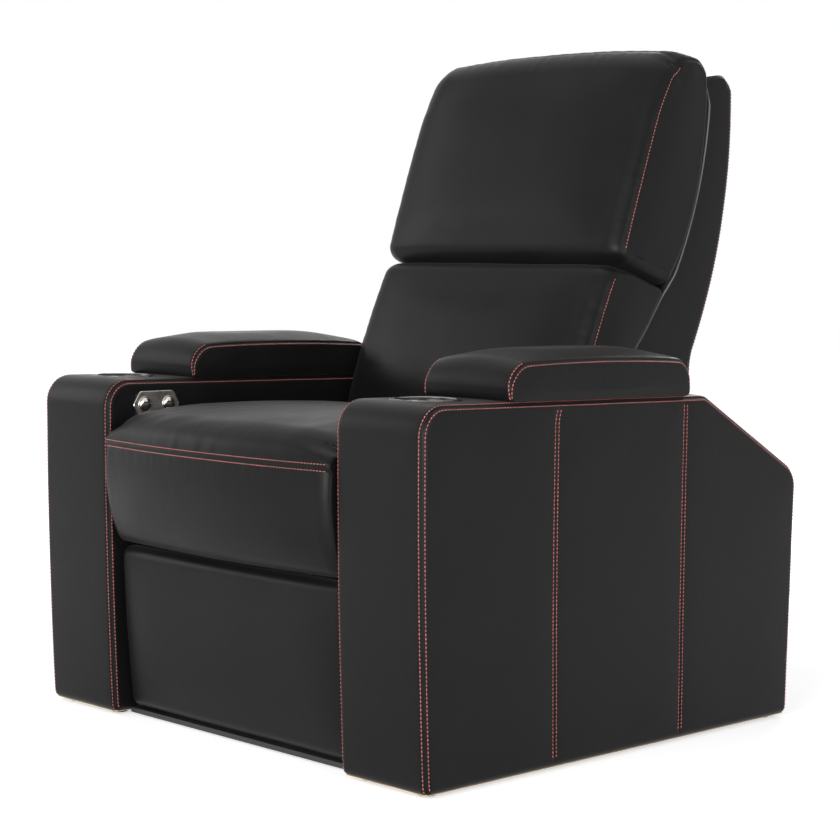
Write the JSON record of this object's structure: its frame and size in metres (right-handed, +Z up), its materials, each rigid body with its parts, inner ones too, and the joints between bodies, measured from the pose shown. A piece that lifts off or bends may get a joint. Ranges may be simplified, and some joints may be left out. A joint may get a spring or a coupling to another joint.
{
  "type": "cinema recliner seat",
  "caption": "Upholstered powered recliner chair with wide box arms, cup holders, folding legrest and tilting back",
  "frame": {"origin": "on the floor, under the middle of the overall box", "axes": "+X to the sitter's left, +Y to the back of the seat, +Z up"},
  "size_m": [0.924, 0.974, 1.122],
  "materials": {
    "leather": "satin grained black leather",
    "plywood": "raw plywood",
    "webbing": "woven elastic band",
    "foam": "upholstery foam",
    "cup_metal": "dark anodised with a bright ring",
    "nickel": "brushed nickel",
    "button": "polished",
    "plastic": "moulded black",
    "black_steel": "black powder coat",
    "zinc_steel": "zinc plated"
  },
  "bodies": {
    "root": {"right_arm_cover": "leather", "left_arm_cover": "leather", "right_arm_frame": "plywood", "left_arm_frame": "plywood", "right_arm_pad": "leather", "left_arm_pad": "leather", "right_cup_holder": "cup_metal", "left_cup_holder": "cup_metal", "control_plate": "nickel", "switch_box": "plastic", "floor_glides": "plastic", "right_base_rail": "black_steel", "left_base_rail": "black_steel", "right_risers": "black_steel", "left_risers": "black_steel", "arm_bolts": "zinc_steel", "front_cross_bar": "black_steel", "rear_cross_tube": "black_steel", "right_side_plate": "black_steel", "left_side_plate": "black_steel", "frame_pins": "zinc_steel", "drive_tube": "black_steel", "gearbox": "plastic", "drive_motor": "black_steel", "motor_bracket": "black_steel", "seat_front_rail": "black_steel", "seat_rear_rail": "black_steel", "right_seat_rail": "black_steel", "left_seat_rail": "black_steel", "seat_webbing": "webbing", "seat_cushion": "leather", "seat_front_roll": "leather"},
    "front_links": {"right_front_link": "black_steel", "left_front_link": "black_steel", "front_link_pins": "zinc_steel"},
    "rear_links": {"right_rear_link": "black_steel", "left_rear_link": "black_steel", "torque_shaft": "zinc_steel", "drive_lever": "black_steel", "rear_link_pins": "zinc_steel"},
    "outer_links": {"right_outer_link": "black_steel", "left_outer_link": "black_steel"},
    "inner_links": {"right_inner_link": "black_steel", "left_inner_link": "black_steel"},
    "legrest": {"legrest_pad": "leather", "legrest_board": "plywood", "right_legrest_bracket": "black_steel", "left_legrest_bracket": "black_steel", "legrest_pins": "zinc_steel"},
    "drive_rod": {"drive_rod": "zinc_steel"},
    "back": {"back_frame": "plywood", "back_webbing": "webbing", "back_foam": "foam", "back_shell": "leather", "lumbar_cushion": "leather", "head_cushion": "leather", "right_back_bracket": "black_steel", "left_back_bracket": "black_steel"},
    "recline_button": {"recline_button": "button"},
    "upright_button": {"upright_button": "button"}
  },
  "joints": [
    {"name": "legrest_fold", "type": "hinge", "parent": "root", "child": "front_links", "pos_m": [0, -0.34815, 0.2885], "axis": [-1, 0, 0], "range_deg": [0, 90]},
    {"name": "rear_link_swing", "type": "hinge", "parent": "root", "child": "rear_links", "pos_m": [0, -0.30465, 0.3], "axis": [-1, 0, 0], "range_deg": [0, 90]},
    {"name": "outer_link_swing", "type": "hinge", "parent": "front_links", "child": "outer_links", "pos_m": [0, -0.27765, 0.06], "axis": [-1, 0, 0], "range_deg": [-90, 0]},
    {"name": "inner_link_swing", "type": "hinge", "parent": "front_links", "child": "inner_links", "pos_m": [0, -0.25495, 0.1043], "axis": [-1, 0, 0], "range_deg": [-90, 0]},
    {"name": "legrest_tilt", "type": "hinge", "parent": "outer_links", "child": "legrest", "pos_m": [0, -0.35365, 0.1855], "axis": [-1, 0, 0], "range_deg": [0, 90]},
    {"name": "drive_rod_slide", "type": "slide", "parent": "root", "child": "drive_rod", "axis": [0, -1, 0], "range_m": [0, 0.0594]},
    {"name": "recline", "type": "hinge", "parent": "root", "child": "back", "pos_m": [0, 0.03435, 0.3], "axis": [-1, 0, 0], "range_deg": [0, 35]},
    {"name": "recline_press", "type": "slide", "parent": "root", "child": "recline_button", "axis": [-1, 0, 0], "range_m": [0, 0.0018], "stiffness_N_per_m": 1200, "springref_m": -0.001},
    {"name": "upright_press", "type": "slide", "parent": "root", "child": "upright_button", "axis": [-1, 0, 0], "range_m": [0, 0.0018], "stiffness_N_per_m": 1200, "springref_m": -0.001}
  ],
  "couplings": [
    {"joint": "rear_link_swing", "follows": "legrest_fold", "ratio": 1},
    {"joint": "outer_link_swing", "follows": "legrest_fold", "ratio": -1},
    {"joint": "inner_link_swing", "follows": "legrest_fold", "ratio": -1},
    {"joint": "legrest_tilt", "follows": "legrest_fold", "ratio": 1},
    {"joint": "drive_rod_slide", "follows": "legrest_fold", "m_per_rad": 0.037815}
  ]
}
